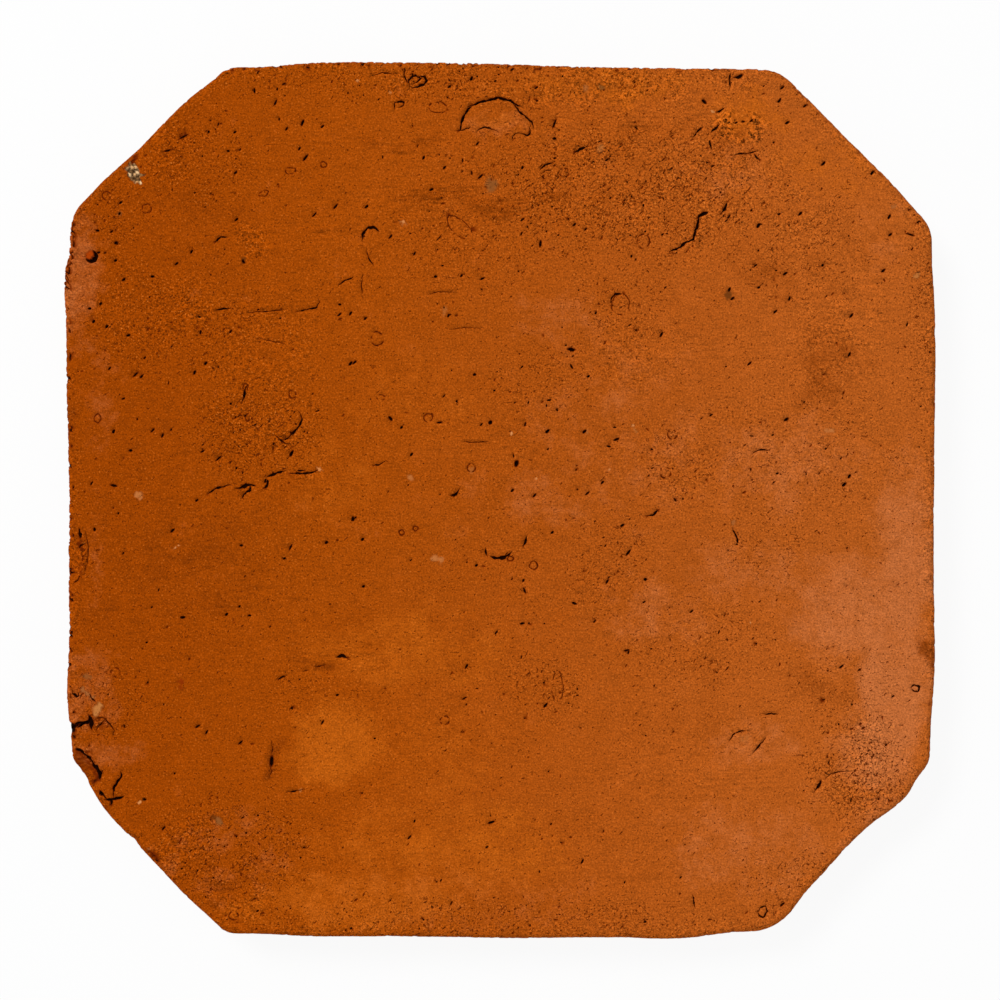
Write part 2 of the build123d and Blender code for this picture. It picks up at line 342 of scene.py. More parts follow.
# Cracks that opened as the clay dried: the widest opening in pixels, the depth in mm, and the run
cracks = [
    (2.4, 1.4, [(460, 130), (461, 121), (463, 116), (468, 108), (472, 105)]),
    (2.5, 1.4, [
        (467, 106), (473, 104), (481, 101), (490, 99), (498, 97), (510, 100), (516, 104), (523, 107),
    ]),
    (2.0, 1.2, [(513, 103), (519, 111), (525, 116), (532, 122), (533, 127)]),
    (1.6, 1.0, [(529, 127), (530, 133), (527, 135), (521, 133)]),
    (1.2, 0.6, [(512, 136), (515, 133), (519, 132)]),
    (1.8, 0.9, [(459, 130), (464, 129), (469, 127)]),
    (1.5, 0.7, [(477, 130), (482, 127), (488, 127), (498, 131)]),
    (2.8, 1.0, [(362, 240), (362, 234), (366, 228), (373, 226), (379, 231)]),
    (1.4, 0.4, [(366, 250), (368, 258), (374, 266)]),
    (1.4, 0.4, [(362, 274), (361, 284), (362, 293)]),
    (2.8, 0.9, [(727, 202), (724, 209), (721, 212)]),
    (3.4, 1.2, [(707, 212), (701, 214), (697, 217)]),
    (2.4, 1.0, [(698, 216), (698, 222), (695, 230), (692, 238)]),
    (2.6, 1.0, [(696, 230), (693, 239), (685, 242), (679, 247), (669, 251)]),
    (1.6, 0.8, [(693, 137), (695, 133), (699, 129), (703, 126)]),
    (1.8, 0.8, [(735, 154), (741, 153), (748, 153), (757, 150)]),
    (1.6, 0.7, [(754, 154), (757, 157), (759, 159)]),
    (2.6, 0.9, [(709, 140), (710, 145), (711, 148)]),
    (2.2, 0.8, [(717, 111), (720, 110), (723, 108)]),
    (2.0, 0.7, [(711, 131), (716, 127), (719, 124)]),
    (2.2, 0.8, [(208, 493), (215, 488), (223, 486), (230, 484)]),
    (3.6, 1.0, [(236, 488), (243, 486), (248, 484), (254, 485)]),
    (2.6, 0.8, [(250, 486), (249, 490), (245, 492), (242, 497)]),
    (2.6, 0.9, [(267, 476), (275, 473), (285, 470)]),
    (2.0, 0.7, [(290, 473), (300, 473), (309, 473), (317, 470)]),
    (1.6, 0.6, [(297, 470), (306, 470)]),
    (3.0, 0.8, [(265, 487), (267, 484), (267, 479)]),
    (2.2, 1.1, [(247, 385), (244, 390), (244, 395), (242, 401)]),
    (2.4, 0.9, [(300, 413), (302, 418), (299, 425), (292, 433), (288, 437), (283, 440)]),
    (2.0, 0.8, [(276, 436), (280, 440), (288, 444)]),
    (1.6, 0.6, [(215, 310), (222, 308), (230, 308)]),
    (1.2, 0.5, [(248, 312), (266, 311), (285, 309)]),
    (1.8, 0.7, [(296, 311), (306, 309), (316, 307), (319, 302), (318, 298)]),
    (1.0, 0.4, [(260, 338), (272, 341), (285, 343)]),
    (2.2, 0.8, [(215, 241), (220, 236), (227, 237)]),
    (2.0, 0.8, [(338, 285), (344, 280), (352, 277)]),
    (1.0, 0.4, [(428, 294), (438, 291), (452, 292)]),
    (0.9, 0.3, [(450, 329), (466, 327), (483, 328)]),
    (1.8, 0.7, [(540, 168), (546, 164), (552, 162)]),
    (1.4, 0.6, [(541, 173), (547, 169), (551, 170)]),
    (2.6, 0.9, [(576, 151), (581, 148), (586, 146)]),
    (2.4, 0.8, [(610, 302), (611, 297), (615, 294), (621, 293)]),
    (3.4, 1.2, [(490, 556), (497, 558), (504, 557), (511, 552)]),
    (1.8, 0.7, [(485, 549), (486, 555)]),
    (2.2, 0.9, [(523, 545), (525, 541), (526, 536)]),
    (2.4, 1.0, [(733, 530), (736, 536), (738, 543)]),
    (1.7, 0.5, [(278, 679), (282, 676), (286, 676)]),
    (1.2, 0.4, [(302, 671), (308, 669)]),
    (1.2, 0.4, [(316, 667), (325, 664)]),
    (3.0, 0.8, [(336, 657), (341, 655), (346, 657)]),
    (1.2, 0.4, [(271, 741), (272, 748), (271, 755)]),
    (1.1, 0.4, [(270, 766), (271, 771), (269, 776)]),
    (1.8, 0.6, [(753, 752), (759, 745), (765, 738)]),
    (1.6, 0.5, [(763, 714), (770, 713), (778, 714)]),
    (1.4, 0.5, [(729, 740), (733, 734), (741, 730), (748, 731)]),
    (1.6, 0.6, [(286, 792), (303, 789)]),
    (2.0, 0.7, [(693, 896), (694, 907)]),
    (2.6, 0.8, [(816, 788), (819, 784), (821, 781)]),
    (1.1, 0.5, [(826, 777), (831, 773), (840, 771), (849, 771)]),
    (2.4, 0.8, [(648, 515), (653, 514), (657, 510)]),
    (1.2, 0.5, [(464, 441), (470, 442), (490, 441)]),
    (2.0, 0.7, [(450, 495), (456, 494), (458, 490)]),
    (1.6, 0.6, [(374, 465), (379, 464), (383, 461)]),
    (3.2, 1.4, [(105, 799), (111, 799), (117, 798), (124, 796)]),
    (2.6, 1.2, [(111, 799), (111, 804)]),
    (2.4, 1.2, [(113, 795), (113, 788), (117, 781), (121, 776), (120, 771)]),
    (4.6, 1.8, [(69, 727), (75, 725), (81, 723), (90, 721)]),
    (4.0, 1.2, [(89, 716), (90, 722), (91, 729)]),
    (1.2, 0.7, [(94, 719), (100, 717), (104, 718), (111, 726), (114, 730), (112, 735)]),
    (1.4, 0.5, [(96, 729), (101, 722), (107, 717)]),
    (2.4, 1.4, [(72, 746), (81, 751), (89, 758), (95, 766)]),
    (4.4, 1.6, [(93, 764), (98, 770), (99, 776), (98, 784)]),
    (2.8, 1.2, [(98, 782), (96, 787), (99, 791), (107, 799)]),
    (1.6, 0.5, [(102, 770), (101, 773), (99, 777)]),
    (1.1, 0.5, [(85, 532), (88, 545), (87, 558), (84, 574)]),
    (3.0, 0.8, [(79, 529), (80, 537)]),
    (1.6, 0.7, [(72, 549), (78, 547), (84, 543)]),
    (2.8, 0.9, [(75, 560), (75, 569)]),
    (1.4, 0.6, [(72, 583), (77, 580), (80, 575)]),
    (1.4, 0.5, [(71, 481), (73, 485), (72, 491)]),
    (1.6, 0.6, [(402, 62), (404, 68), (404, 76), (407, 82)]),
    (2.0, 0.8, [(409, 86), (408, 80), (411, 76), (416, 75), (420, 78), (416, 82), (411, 84)]),
    (2.4, 0.8, [(418, 76), (424, 76), (426, 80), (423, 84), (417, 86), (411, 88)]),
    (1.8, 0.7, [(394, 109), (394, 102), (399, 101), (404, 101), (403, 105), (398, 107)]),
    (1.8, 0.7, [(758, 912), (760, 907), (765, 906), (767, 911), (763, 917), (759, 915), (757, 910)]),
    (2.4, 0.8, [(911, 687), (914, 684), (919, 686), (918, 691), (914, 691), (911, 688)]),
    (1.8, 0.8, [(730, 72), (729, 80), (730, 87)]),
    (3.6, 1.0, [(735, 77), (739, 76), (742, 74)]),
    (1.3, 0.5, [(370, 76), (382, 72), (396, 74)]),
    (3.2, 0.9, [(133, 160), (135, 156), (137, 153)]),
    (1.4, 0.5, [(118, 168), (124, 164), (131, 160)]),
    (1.6, 0.6, [(89, 694), (92, 699), (95, 701)]),
    (2.4, 0.9, [(72, 693), (77, 696), (79, 692)]),
    (1.6, 0.6, [(753, 452), (760, 449), (768, 450)]),
]

# Grains of sand and lumps of paler or darker clay, flush with the face: across, down, half width in
# pixels, how much of them shows, and their colour
bright_sand = (0.72, 0.28, 0.085)
pale_sand = (0.55, 0.18, 0.045)
peach_lump = (0.53, 0.19, 0.045)
dull_lump = (0.38, 0.125, 0.032)
olive_grit = (0.28, 0.095, 0.022)
dark_grit = (0.13, 0.035, 0.005)
ashy_lump = (0.24, 0.085, 0.020)
ashy_grit = (0.20, 0.075, 0.016)
red_ochre = (0.26, 0.028, 0.001)
grains = [
    (137, 494, 3.8, 0.9, pale_sand), (140, 498, 2.2, 0.8, pale_sand), (82, 689, 3.4, 0.9, dull_lump),
    (87, 693, 4.2, 0.9, dull_lump), (92, 697, 3.4, 0.8, dull_lump), (97, 708, 6.6, 1.0, peach_lump),
    (86, 676, 3.4, 0.7, olive_grit), (90, 677, 2.6, 0.6, olive_grit), (139, 802, 2.4, 1.0, bright_sand),
    (511, 433, 2.4, 1.0, bright_sand), (410, 477, 4.8, 0.8, pale_sand), (831, 430, 3.4, 0.8, pale_sand),
    (826, 430, 2.6, 0.7, pale_sand), (403, 221, 1.8, 0.8, bright_sand), (357, 80, 2.0, 0.7, bright_sand),
    (916, 275, 5.0, 0.8, peach_lump), (733, 522, 4.0, 0.8, dull_lump), (218, 820, 5.6, 0.9, olive_grit),
    (213, 817, 3.0, 0.7, dark_grit), (491, 184, 7.0, 0.8, ashy_lump), (585, 87, 4.0, 0.6, dull_lump),
    (601, 87, 4.2, 0.8, ashy_grit), (893, 206, 4.0, 0.8, dull_lump), (243, 260, 4.0, 0.8, dark_grit),
    (181, 681, 3.0, 0.9, red_ochre), (180, 686, 2.4, 0.7, red_ochre), (119, 213, 3.6, 0.5, olive_grit),
    (143, 799, 2.6, 0.9, dark_grit), (712, 111, 2.4, 1.0, bright_sand), (147, 849, 3.0, 0.9, dull_lump),
    (175, 547, 1.5, 0.8, bright_sand), (178, 545, 1.2, 0.7, bright_sand), (319, 469, 1.6, 0.8, bright_sand),
    (609, 469, 1.6, 0.6, bright_sand), (587, 431, 3.5, 0.5, peach_lump), (635, 430, 4.0, 0.5, peach_lump),
    (434, 558, 4.6, 0.9, pale_sand), (441, 559, 3.0, 0.8, pale_sand), (471, 470, 4.0, 0.4, peach_lump),
    (633, 425, 1.4, 0.8, bright_sand), (744, 738, 7.0, 0.4, peach_lump), (444, 311, 6.5, 0.4, peach_lump),
    (750, 622, 1.2, 0.8, bright_sand), (536, 478, 1.4, 0.8, bright_sand), (728, 294, 4.4, 0.9, dark_grit),
    (300, 790, 2.4, 0.6, peach_lump), (390, 92, 2.2, 0.8, pale_sand), (733, 298, 2.4, 0.8, dark_grit),
    (864, 899, 3.0, 0.7, pale_sand), (600, 148, 5.0, 0.5, peach_lump),
]

# How busy the face is with small pores and dents: it is busiest along the top and in some hollows,
# and closed and smooth where the hand went over it most. Across, down, half width, half height, busyness
busy_ovals = [
    (620, 190, 190, 80, 0.85), (180, 325, 120, 55, 0.50), (260, 430, 75, 55, 0.75), (480, 230, 90, 70, 0.5),
    (620, 300, 60, 60, 0.5), (540, 380, 60, 40, 0.45), (680, 460, 50, 50, 0.5), (610, 560, 50, 60, 0.55),
    (700, 640, 80, 60, 0.4), (540, 690, 50, 40, 0.6), (110, 700, 45, 45, 0.5), (230, 850, 90, 60, 0.75),
    (860, 770, 60, 55, 0.85), (760, 540, 60, 50, 0.4), (300, 690, 40, 40, 0.35), (200, 160, 60, 50, 0.65),
    (800, 240, 70, 70, 0.5), (110, 215, 40, 40, 0.5), (800, 450, 120, 100, 0.3), (500, 920, 320, 26, 0.6),
    (790, 880, 60, 40, 0.6), (500, 80, 320, 26, 0.6), (920, 300, 16, 130, 0.6), (840, 690, 60, 60, 0.4),
]
least_busy = 0.05


def busyness(across, down):
    """How busy the face is at these pixels, from least_busy to 1."""
    amount = np.full(np.shape(across), least_busy)
    for middle_across, middle_down, half_wide, half_high, strength in busy_ovals:
        out = np.hypot((across - middle_across) / half_wide, (down - middle_down) / half_high)
        amount = np.maximum(amount, strength * (1.0 - smooth_rise(out, 0.4, 1.3)))
    return amount


# The rest of the pores, scattered: most lie where the face is busy
seen_slots = len(slots)
scattered_pores = 820
pore_lengths = (1.8, 2.2, 2.6, 3.0, 3.6, 5.0)
pore_widths = (1.5, 2.4)
pore_shade_strengths = (0.35, 0.45, 0.55, 0.75, 1.0)
usual_tilt, tilt_spread = 45, 30
tile_across, tile_down = (62, 938), (62, 940)
chance_anywhere, chance_by_busyness = 0.06, 0.94
while len(slots) < seen_slots + scattered_pores:
    across, down = random.uniform(*tile_across), random.uniform(*tile_down)
    if random.random() < chance_anywhere + chance_by_busyness * busyness(across, down):
        length = random.choice(pore_lengths)
        width = min(length, random.uniform(*pore_widths))
        slots.append((across, down, length, width, random.gauss(usual_tilt, tilt_spread)))

# Where the surface needs points close together, and how far the even points keep off, in mm
close_points = []
kept_clear = []
close_step = 0.45


def oval(centre, half_long, half_wide, tilt, share, count):
    """Points round an oval of this share of the size."""
    lean = math.radians(tilt)
    around = np.arange(count) * 2.0 * math.pi / count
    long_way = np.cos(around) * half_long * share
    wide_way = np.sin(around) * half_wide * share
    across = centre[0] + long_way * math.cos(lean) - wide_way * math.sin(lean)
    up = centre[1] + long_way * math.sin(lean) + wide_way * math.cos(lean)
    return np.column_stack((across, up))


# The marks in mm, each with points close together on it and round it
slot_shapes = []
wide_slot = 2.5
small_half = 0.6
for index, (across, down, length, width, tilt) in enumerate(slots):
    centre = on_face(across, down)
    half_long = length * face_mm_per_pixel / 2
    half_wide = width * face_mm_per_pixel / 2
    if index < seen_slots:
        painted_shade_strength = 1.0 if width > wide_slot else 0.85
    else:
        painted_shade_strength = random.choice(pore_shade_strengths)
    slot_shapes.append((centre, half_long, half_wide, tilt, painted_shade_strength))
    count, shares = (7, (1.12, 0.65)) if half_long < small_half else (12, (1.2, 0.9, 0.55))
    for share in shares:
        close_points.append(oval(centre, half_long, half_wide, tilt, share, count))
    close_points.append(oval(centre, half_long, half_wide, tilt, 0.0, 1))
    kept_clear.append((centre, half_long * 1.2 + 0.35))

ring_shapes = []
for across, down, ring_width, ring_height, tilt, opened in gaps_round_lumps:
    centre = on_face(across, down)
    half_long = ring_width * face_mm_per_pixel / 2
    half_wide = ring_height * face_mm_per_pixel / 2
    ring_shapes.append((centre, half_long, half_wide, tilt, opened))
    count = max(14, int(2.0 * math.pi * max(half_long, half_wide) / close_step))
    for reach in (-0.75, -0.45, -0.15, 0.15, 0.45):
        if min(half_long, half_wide) + reach > 0.3:
            close_points.append(oval(centre, half_long + reach, half_wide + reach, tilt, 1.0, count))
    kept_clear.append((centre, max(half_long, half_wide) + 0.7))
    close_points.append(oval(centre, half_long, half_wide, tilt, 0.2, 4))

# Each crack wanders a little off its run, and opens and closes along it
crack_shapes = []
raggedness = 0.28


def unevenness_along(line, fineness, layer):
    """Unevenness from about -1 to 1 at each point of a line: the higher fineness, the finer."""
    return np.array([noise.noise(Vector((x * fineness, y * fineness, layer))) for x, y in line])


for opening, depth, run in cracks:
    half_open = opening * face_mm_per_pixel / 2
    corners = np.array([on_face(*place) for place in run])
    steps = np.linalg.norm(np.diff(corners, axis=0), axis=1)
    along = np.concatenate(([0.0], np.cumsum(steps)))
    close_along = np.arange(0.0, along[-1], close_step)
    line = np.column_stack([np.interp(close_along, along, corners[:, axis]) for axis in (0, 1)])
    ragged = unevenness_along(line, 0.9, 3.0) * raggedness
    headings = np.gradient(line, axis=0)
    headings /= np.linalg.norm(headings, axis=1)[:, None]
    leftwards = np.column_stack((-headings[:, 1], headings[:, 0]))
    line = line + leftwards * ragged[:, None]
    taper = np.sqrt(np.clip(np.sin(np.pi * (np.arange(len(line)) + 0.7) / (len(line) + 0.4)), 0.05, 1))
    opened = unevenness_along(line, 0.6, 11.0)
    widths = half_open * taper * (0.62 + 0.5 * smooth_rise(opened, -0.3, 0.25))
    crack_shapes.append((line, widths, depth * (0.4 + 0.6 * widths / widths.max())))
    for side in (-1.35, -0.8, 0.0, 0.8, 1.35):
        close_points.append(line + leftwards * (side * widths)[:, None])
    for point in line[::2]:
        kept_clear.append((point, 0.75))

grain_shapes = []
for across, down, half, shown, colour in grains:
    centre = on_face(across, down)
    radius = half * face_mm_per_pixel
    grain_shapes.append((centre, radius, shown, colour))
    for share in (1.15, 0.85, 0.4):
        close_points.append(oval(centre, radius, radius, 0.0, share, 10))
    kept_clear.append((centre, radius * 1.2 + 0.3))

# Patches where the clay was torn and plucked: across, down, half width, half height, strength, and
# how much shade is painted in their crevices
torn_patches = [
    (740, 130, 32, 27, 1.0, 0.40), (404, 82, 26, 14, 0.55, 0.5), (78, 556, 10, 30, 1.0, 0.9),
    (86, 766, 12, 24, 1.0, 1.0), (279, 440, 24, 22, 0.5, 0.5), (244, 490, 14, 8, 0.6, 0.7),
    (300, 474, 24, 8, 0.5, 0.6), (100, 722, 14, 12, 0.75, 0.9), (500, 116, 24, 12, 0.75, 0.4),
    (190, 310, 30, 22, 0.6, 0.8), (250, 240, 26, 24, 0.6, 0.6), (700, 225, 34, 26, 0.6, 0.6),
    (800, 215, 40, 30, 0.5, 0.6), (670, 180, 130, 70, 0.45, 0.6), (260, 370, 70, 100, 0.45, 0.6),
    (150, 300, 90, 60, 0.4, 0.6), (840, 340, 50, 60, 0.5, 0.6), (640, 350, 60, 50, 0.4, 0.6),
    (230, 900, 60, 30, 0.5, 0.6), (180, 850, 40, 40, 0.5, 0.6), (870, 745, 30, 50, 0.5, 0.6),
    (620, 90, 170, 24, 0.6, 0.6), (160, 150, 50, 40, 0.45, 0.6), (745, 737, 16, 12, 0.6, 0.5),
    (860, 800, 40, 40, 0.55, 0.7), (926, 320, 6, 45, 0.7, 0.5),
]
coarse_crumbs_from = 0.75
dense_step = 0.62
dense = np.random.default_rng(5)
for across, down, half_wide, half_high, strength, _ in torn_patches:
    if strength >= coarse_crumbs_from:
        reach = np.array((half_wide, half_high)) * face_mm_per_pixel
        count = int(math.pi * reach.prod() / dense_step**2)
        spread = np.sqrt(dense.uniform(0.0, 1.0, count))
        around = dense.uniform(0.0, 2.0 * math.pi, count)
        scattered = np.column_stack((np.cos(around), np.sin(around))) * spread[:, None] * reach
        close_points.append(on_face(across, down) + scattered)

# The nick in the upper left cut, where a lump of pale coarse sand was broken open
sand_centre = on_face(133.5, 172)
sand_half_long, sand_half_wide, sand_tilt = 4.3, 2.3, -62.0
sand_half_mean, sand_step = 3.4, 0.42
for share in np.arange(0.06, 1.15, 0.12):
    count = max(5, int(2.0 * math.pi * share * sand_half_mean / sand_step))
    close_points.append(oval(sand_centre, sand_half_long, sand_half_wide, sand_tilt, share, count))
kept_clear.append((sand_centre, sand_half_wide * 1.2))

# The round hole near the left edge, with the reddish lump still in it
lump_hole = on_face(91, 256)
lump_hole_radius = 2.25
for share in (1.12, 0.98, 0.85, 0.7, 0.5, 0.25):
    close_points.append(oval(lump_hole, lump_hole_radius, lump_hole_radius, 0.0, share, 26))
kept_clear.append((lump_hole, lump_hole_radius * 1.2))

# Even points over the rest of the face
even_step = 1.7
row_step = even_step * math.sqrt(3) / 2
ring_radius = np.linalg.norm(top_ring[:, :2], axis=1)
ring_turn = np.arctan2(top_ring[:, 1], top_ring[:, 0])
order = np.argsort(ring_turn)


def inside_by(points):
    """How far in from the top ring each point lies, along its own radius."""
    turn = np.arctan2(points[:, 1], points[:, 0])
    edge = np.interp(turn, ring_turn[order], ring_radius[order], period=2.0 * math.pi)
    return edge - np.linalg.norm(points, axis=1)


past_edge = 151.0
even_edge_gap, close_edge_gap = 0.7, 0.25
even_points = []
for index, up in enumerate(np.arange(-past_edge, past_edge, row_step)):
    across = np.arange(-past_edge + (index % 2) * even_step / 2, past_edge, even_step)
    even_points.append(np.column_stack((across, np.full(len(across), up))))
even_points = np.concatenate(even_points)
jitter = np.random.default_rng(11)
even_points += jitter.uniform(-0.2, 0.2, even_points.shape)
even_points = even_points[inside_by(even_points) > even_edge_gap]
free = np.ones(len(even_points), dtype=bool)
for centre, reach in kept_clear:
    close = np.flatnonzero(np.abs(even_points[:, 0] - centre[0]) < reach)
    offset = even_points[close] - centre
    free[close[np.linalg.norm(offset, axis=1) < reach]] = False
even_points = even_points[free]
close_points = np.concatenate(close_points)
close_points = close_points[inside_by(close_points) > close_edge_gap]

flat_points = np.concatenate((top_ring[:, :2], close_points, even_points))
edge_runs = [(i, (i + 1) % stations) for i in range(stations)]
flat, _, face_triangles, sources, _, _ = delaunay_2d_cdt(
    [Vector(point) for point in flat_points], edge_runs, [], 1, 1e-5
)
flat = np.array([(point.x, point.y) for point in flat])
source = np.array([min(own) if own else -1 for own in sources])
is_edge = (source >= 0) & (source < stations)

# The slab's own height under each point: flat, but for the arris and the chips at the edge. By a
# mark, the highest of five places close together is taken, so that the solid's own cracks and pit
# don't sink it twice.
heights = np.full(len(flat), face_height)
edge_zone = 9.0
aside = 0.9
beside = ((0.0, 0.0), (aside, 0.0), (-aside, 0.0), (0.0, aside), (0.0, -aside))
for i in np.flatnonzero(inside_by(flat) < edge_zone):
    found = []
    for step in (beside if source[i] < stations + len(close_points) else beside[:1]):
        start = Vector((flat[i, 0] + step[0], flat[i, 1] + step[1], 2 * face_height)) * mm
        hit = slab_surface.ray_cast(start, Vector((0, 0, -1)))[0]
        if hit is not None:
            found.append(hit.z / mm)
    heights[i] = max(found) if found else face_height
in_lump_hole = np.linalg.norm(flat - lump_hole, axis=1) < lump_hole_radius * 1.15
heights[in_lump_hole] = face_height
heights = np.minimum(heights, face_height)

# How deep the marks go below the slab's face, how much shade is painted in them, and what colour
# lies there. The marks are laid out on bent, a slightly wavering copy of the places, so none is even.
relief = np.zeros(len(flat))
painted_hollow_shade = np.zeros(len(flat))
grain_tint = np.zeros((len(flat), 4))
level = np.column_stack((flat, np.zeros(len(flat))))
bend = 0.16
bent = flat + np.column_stack((wavering(level, 1.3, 2), wavering(level, 1.3, 2, 60.0))) * bend


def close_to(centre, reach):
    """The points of the face that lie no further than this from the centre, across and up."""
    return np.flatnonzero((np.abs(bent[:, 0] - centre[0]) < reach) & (np.abs(bent[:, 1] - centre[1]) < reach))


def sink(points, share, depth, painted_shade_strength=1.0):
    """Lowers these points by a share of depth, and paints shade on them as much as they are lowered."""
    relief[points] = np.maximum(relief[points], share * depth)
    painted_hollow_shade[points] = np.maximum(painted_hollow_shade[points], share * painted_shade_strength)


def oval_share(places, centre, half_long, half_wide, tilt):
    """How far out each place is in an oval, from 0 in its middle to 1 on its edge, and its turn."""
    lean = math.radians(tilt)
    offset = places - centre
    long_way = (offset[:, 0] * math.cos(lean) + offset[:, 1] * math.sin(lean)) / half_long
    wide_way = (offset[:, 1] * math.cos(lean) - offset[:, 0] * math.sin(lean)) / half_wide
    return np.hypot(long_way, wide_way), np.arctan2(wide_way, long_way)


def unevenness_round(around, fineness, layer):
    """Unevenness from about -1 to 1 at each turn round a mark, with no jump where it closes."""
    return np.array([
        noise.noise(Vector((math.cos(turn) * fineness, math.sin(turn) * fineness, layer)))
        for turn in around
    ])


# Each slot and pore is sunk, with painted shade laid in it
deepest_slot = 1.4
depth_per_half_wide = 2.2
for centre, half_long, half_wide, tilt, painted_shade_strength in slot_shapes:
    points = close_to(centre, half_long * 1.5)
    out, _ = oval_share(bent[points], centre, half_long, half_wide, tilt)
    depth = min(deepest_slot, half_wide * depth_per_half_wide * painted_shade_strength)
    sink(points, 1.0 - smooth_rise(out, 0.62, 1.12), depth, painted_shade_strength)

# The gap round each lump is sunk and painted with shade
gap_half = 0.32
gap_depth, gap_shade_strength = 0.4, 0.74
for index, (centre, half_long, half_wide, tilt, opened) in enumerate(ring_shapes):
    points = close_to(centre, max(half_long, half_wide) + 0.8)
    out, around = oval_share(bent[points], centre, half_long, half_wide, tilt)
    bulge = 0.20 * unevenness_round(around, 1.1, index * 4.7)
    away = np.abs(out - 1.0 - bulge) * (half_long + half_wide) / 2
    open_here = smooth_rise(unevenness_round(around, 1.4, index * 3.1), 0.20 - opened, 0.55 - opened)
    sink(points, (1.0 - smooth_rise(away, 0.08, gap_half)) * open_here, gap_depth, gap_shade_strength)

# Cracks are sunk and painted with shade, darker where they open wider
for line, widths, depth in crack_shapes:
    low, high = line.min(axis=0) - 1.0, line.max(axis=0) + 1.0
    points = np.flatnonzero(np.all((flat > low) & (flat < high), axis=1))
    gaps = np.linalg.norm(flat[points][:, None, :] - line[None, :, :], axis=2)
    nearest = gaps.argmin(axis=1)
    across_share = gaps.min(axis=1) / widths[nearest]
    painted_shade_strength = np.clip(0.34 + widths[nearest] / 0.60, 0.42, 1.0)
    sink(points, 1.0 - smooth_rise(across_share, 0.75, 1.35), depth[nearest], painted_shade_strength)


def stain(points, share, colour, coverage=1.0):
    """Gives these points this colour wherever share is above 0, as strongly as share says."""
    grain_tint[points, :3] = np.where(share[:, None] > 0.0, colour, grain_tint[points, :3])
    grain_tint[points, 3] = np.maximum(grain_tint[points, 3], share * coverage)


grain_rim = 0.12
for index, (centre, radius, shown, colour) in enumerate(grain_shapes):
    points = close_to(centre, radius * 1.5)
    narrow = radius * (0.7 + 0.3 * math.cos(index))
    out, around = oval_share(bent[points], centre, radius, narrow, index * 50.0)
    out = out * (1.0 + 0.5 * unevenness_round(around, 1.3, index * 5.3))
    stain(points, shown * (1.0 - smooth_rise(out, 0.85 * shown, 1.15)), colour)
    sink(points, smooth_rise(out, 0.6, 0.95) * (out < 1.2) * shown, grain_rim, 0.0)


def pebbles(points, size):
    """For each point of a coarse broken surface, how far it is in a crevice, and its pebble."""
    crevice, pebble = [], []
    for x, y in points / size:
        distances, places = noise.voronoi(Vector((x, y, 0.5)))
        crevice.append(distances[1] - distances[0])
        pebble.append(noise.cell(places[0] * 7.0))
    return 1.0 - smooth_rise(np.array(crevice), 0.0, 0.4), np.array(pebble)


# The coarse sand in the nick: pebbles of four colours, with painted shade in the gaps between them
sand_colours = np.array([(0.78, 0.44, 0.19), (0.60, 0.31, 0.12), (0.36, 0.17, 0.06), (0.88, 0.56, 0.28)])
sand_gap_shade = np.array((0.040, 0.018, 0.006))
pebble_size = 1.25
shuffle = 97
points = close_to(sand_centre, 6.0)
out, _ = oval_share(bent[points], sand_centre, sand_half_long, sand_half_wide, sand_tilt)
crevice, pebble = pebbles(bent[points], pebble_size)
out = out + 0.45 * wavering(level[points], 1.7, 2, 15.0)
share = 1.0 - smooth_rise(out, 0.8, 1.0)
picked = sand_colours[(np.abs(pebble) * shuffle).astype(int) % len(sand_colours)]
stain(points, share, picked * (1.0 - crevice[:, None]) + sand_gap_shade * crevice[:, None], 1.3)
relief[points] = np.maximum(relief[points], share * (0.15 + 0.7 * crevice))

# The lump in the round hole stands off its middle, and shade is painted in the open hole beside it
lump_colour = np.array((0.40, 0.046, 0.001))
lump_off_middle = (-1.0, 0.8)
lump_depth, lump_hole_depth = 0.5, 2.1
points = close_to(lump_hole, lump_hole_radius * 1.4)
out, _ = oval_share(bent[points], lump_hole, lump_hole_radius, lump_hole_radius, 0.0)
bowl = 1.0 - smooth_rise(out, 0.86, 1.06)
away_from_lump = bent[points] - (lump_hole + lump_off_middle)
past_lump = smooth_rise(np.linalg.norm(away_from_lump, axis=1), 1.5, 1.95)
sink(points, bowl, lump_depth, 0.0)
sink(points, bowl * past_lump, lump_hole_depth, 1.0)
stain(points, bowl * (1.0 - past_lump), lump_colour)

# The face is not quite flat: the strike left long low waves, and the hand went back over them. Where
# it tore the clay, crumbs were plucked out, deepest in the strongest patches.
wave_height = 0.10
hand_mark_height = 0.035
torn_height = 0.20
plucked_height = 0.26
crumb_size = 1.2
crevice_shade_strength = 0.50
waves = wave_height * (1.0 + wavering(level * (0.5, 1.0, 1.0), 38.0, 2, 5.0))
hand_marks = hand_mark_height * (1.0 + wavering(level * (0.35, 1.0, 1.0), 7.0, 3, 9.0))
rough = np.zeros(len(flat))
crevice_painted_shade = np.zeros(len(flat))
patch_edge = 0.35 * wavering(level, 9.0, 3, 51.0)
for across, down, half_wide, half_high, strength, painted_shade_strength in torn_patches:
    offset = (bent - on_face(across, down)) / face_mm_per_pixel
    out = np.hypot(offset[:, 0] / half_wide, offset[:, 1] / half_high) + patch_edge
    torn_here = strength * (1.0 - smooth_rise(out, 0.55, 1.1))
    rough = np.maximum(rough, torn_here)
    crevice_painted_shade = np.maximum(crevice_painted_shade, torn_here * painted_shade_strength)
edge_band = 1.0 - smooth_rise(inside_by(flat), 0.5, 5.0)
rough = np.maximum(rough, 0.5 * edge_band)
crevice, _ = pebbles(bent, crumb_size)
plucked = smooth_rise(rough, 0.5, 0.9)
torn = torn_height * rough * np.clip(0.5 + wavering(level, 2.4, 3, 21.0), 0.0, 2.0)
torn = torn + plucked_height * plucked * crevice
# Painted shade in the crevices between the plucked crumbs
painted_hollow_shade = np.maximum(painted_hollow_shade, crevice_shade_strength * smooth_rise(crevice_painted_shade, 0.3, 0.9) * crevice)
